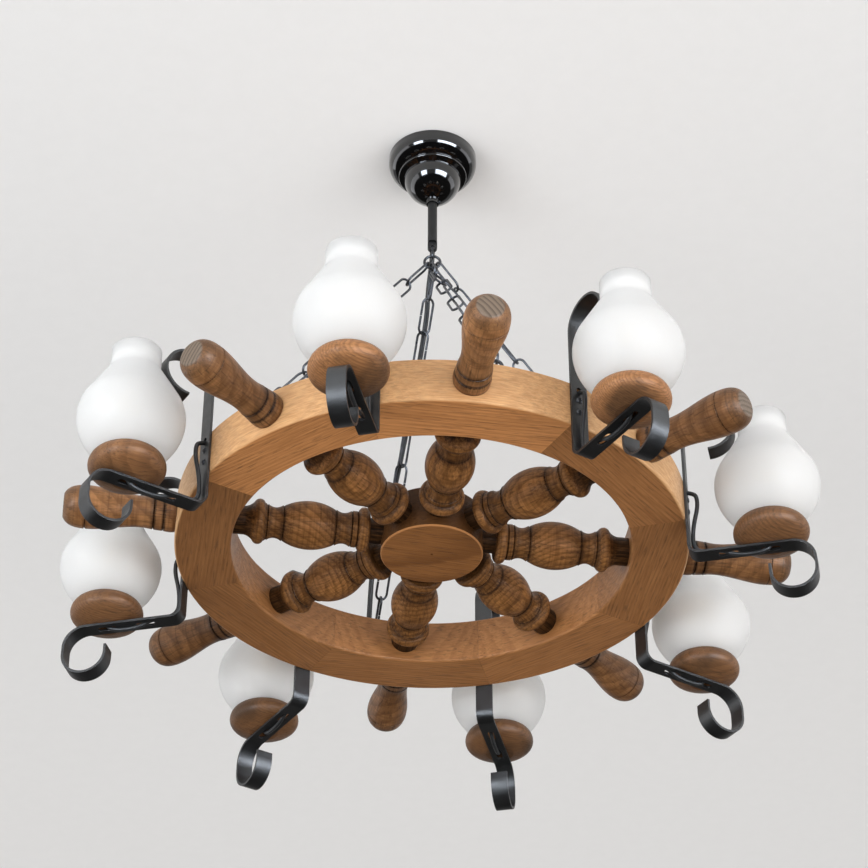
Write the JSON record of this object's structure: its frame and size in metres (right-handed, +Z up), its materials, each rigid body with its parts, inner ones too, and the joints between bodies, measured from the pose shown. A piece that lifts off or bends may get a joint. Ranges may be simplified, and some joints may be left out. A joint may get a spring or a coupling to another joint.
{
  "type": "wooden chandelier",
  "caption": "Ship's-wheel chandelier: turned wooden wheel hung by chains from a rod and ceiling canopy, with globe lamps in cups on scrolled iron brackets.",
  "frame": {"origin": "on the ceiling plane, midway between the two screw slots of the ceiling bracket, on the wheel's axis", "axes": "+Z up into the ceiling, +X along the ceiling bracket and to the right in the picture, +Y to the far side"},
  "size_m": [0.8912, 0.8912, 0.7344],
  "materials": {
    "rim_wood": "satin varnish",
    "hub_wood": "satin varnish",
    "dark_wood": "antiqued, with burnt grooves",
    "handle_wood": "satin varnish",
    "cup_wood": "satin varnish",
    "black_iron": "satin black",
    "gloss_black": "gloss black",
    "dark_steel": "blackened",
    "zinc_steel": "zinc plated",
    "frosted_glass": "frosted white",
    "bulb_glass": "warm opal",
    "holder_plastic": "plain",
    "block_plastic": "plain",
    "black_cable": "matt"
  },
  "bodies": {
    "ceiling_mount": {"ceiling_bracket": "zinc_steel", "rod_nuts": "zinc_steel", "terminal_block": "block_plastic", "hanging_rod": "black_iron", "supply_lead": "black_cable"},
    "canopy_body": {"canopy": "gloss_black", "canopy_collar": "gloss_black"},
    "collar_screw_body": {"collar_set_screw": "dark_steel"},
    "link_body": {"rod_link": "dark_steel"},
    "wheel_body": {"hanging_ring": "dark_steel", "chains": "dark_steel", "screw_eyes": "dark_steel", "mains_cable": "black_cable", "wire_harness": "black_cable", "hub": "hub_wood", "bracket_screws": "dark_steel", "lamp_cups": "cup_wood", "lampholders": "holder_plastic", "bulbs": "bulb_glass", "lamp_leads": "black_cable", "rim_segment_1": "rim_wood", "spoke_1": "dark_wood", "handle_1": "handle_wood", "bracket_1": "black_iron", "rim_segment_2": "rim_wood", "spoke_2": "dark_wood", "handle_2": "handle_wood", "bracket_2": "black_iron", "rim_segment_3": "rim_wood", "spoke_3": "dark_wood", "handle_3": "handle_wood", "bracket_3": "black_iron", "rim_segment_4": "rim_wood", "spoke_4": "dark_wood", "handle_4": "handle_wood", "bracket_4": "black_iron", "rim_segment_5": "rim_wood", "spoke_5": "dark_wood", "handle_5": "handle_wood", "bracket_5": "black_iron", "rim_segment_6": "rim_wood", "spoke_6": "dark_wood", "handle_6": "handle_wood", "bracket_6": "black_iron", "rim_segment_7": "rim_wood", "spoke_7": "dark_wood", "handle_7": "handle_wood", "bracket_7": "black_iron", "rim_segment_8": "rim_wood", "spoke_8": "dark_wood", "handle_8": "handle_wood", "bracket_8": "black_iron"},
    "shade_1_body": {"shade_1": "frosted_glass"},
    "shade_2_body": {"shade_2": "frosted_glass"},
    "shade_3_body": {"shade_3": "frosted_glass"},
    "shade_4_body": {"shade_4": "frosted_glass"},
    "shade_5_body": {"shade_5": "frosted_glass"},
    "shade_6_body": {"shade_6": "frosted_glass"},
    "shade_7_body": {"shade_7": "frosted_glass"},
    "shade_8_body": {"shade_8": "frosted_glass"}
  },
  "joints": [
    {"name": "canopy_slide", "type": "slide", "parent": "ceiling_mount", "child": "canopy_body", "axis": [0, 0, -1], "range_m": [0, 0.027]},
    {"name": "collar_screw_turn", "type": "hinge", "parent": "canopy_body", "child": "collar_screw_body", "pos_m": [0.008, 0, -0.0742], "axis": [1, 0, 0], "range_deg": [0, 360]},
    {"name": "link_swing", "type": "hinge", "parent": "ceiling_mount", "child": "link_body", "pos_m": [0, 0, -0.152], "axis": [0, 1, 0], "range_deg": [-10, 10], "deforming": ["mains_cable"]},
    {"name": "wheel_swing", "type": "hinge", "parent": "link_body", "child": "wheel_body", "pos_m": [0, 0, -0.16555], "axis": [1, 0, 0], "range_deg": [-10, 10], "deforming": ["mains_cable"]},
    {"name": "shade_1_lift", "type": "slide", "parent": "wheel_body", "child": "shade_1_body", "axis": [0, 0, 1], "range_m": [0, 0.014]},
    {"name": "shade_2_lift", "type": "slide", "parent": "wheel_body", "child": "shade_2_body", "axis": [0, 0, 1], "range_m": [0, 0.014]},
    {"name": "shade_3_lift", "type": "slide", "parent": "wheel_body", "child": "shade_3_body", "axis": [0, 0, 1], "range_m": [0, 0.014]},
    {"name": "shade_4_lift", "type": "slide", "parent": "wheel_body", "child": "shade_4_body", "axis": [0, 0, 1], "range_m": [0, 0.014]},
    {"name": "shade_5_lift", "type": "slide", "parent": "wheel_body", "child": "shade_5_body", "axis": [0, 0, 1], "range_m": [0, 0.014]},
    {"name": "shade_6_lift", "type": "slide", "parent": "wheel_body", "child": "shade_6_body", "axis": [0, 0, 1], "range_m": [0, 0.014]},
    {"name": "shade_7_lift", "type": "slide", "parent": "wheel_body", "child": "shade_7_body", "axis": [0, 0, 1], "range_m": [0, 0.014]},
    {"name": "shade_8_lift", "type": "slide", "parent": "wheel_body", "child": "shade_8_body", "axis": [0, 0, 1], "range_m": [0, 0.014]}
  ]
}
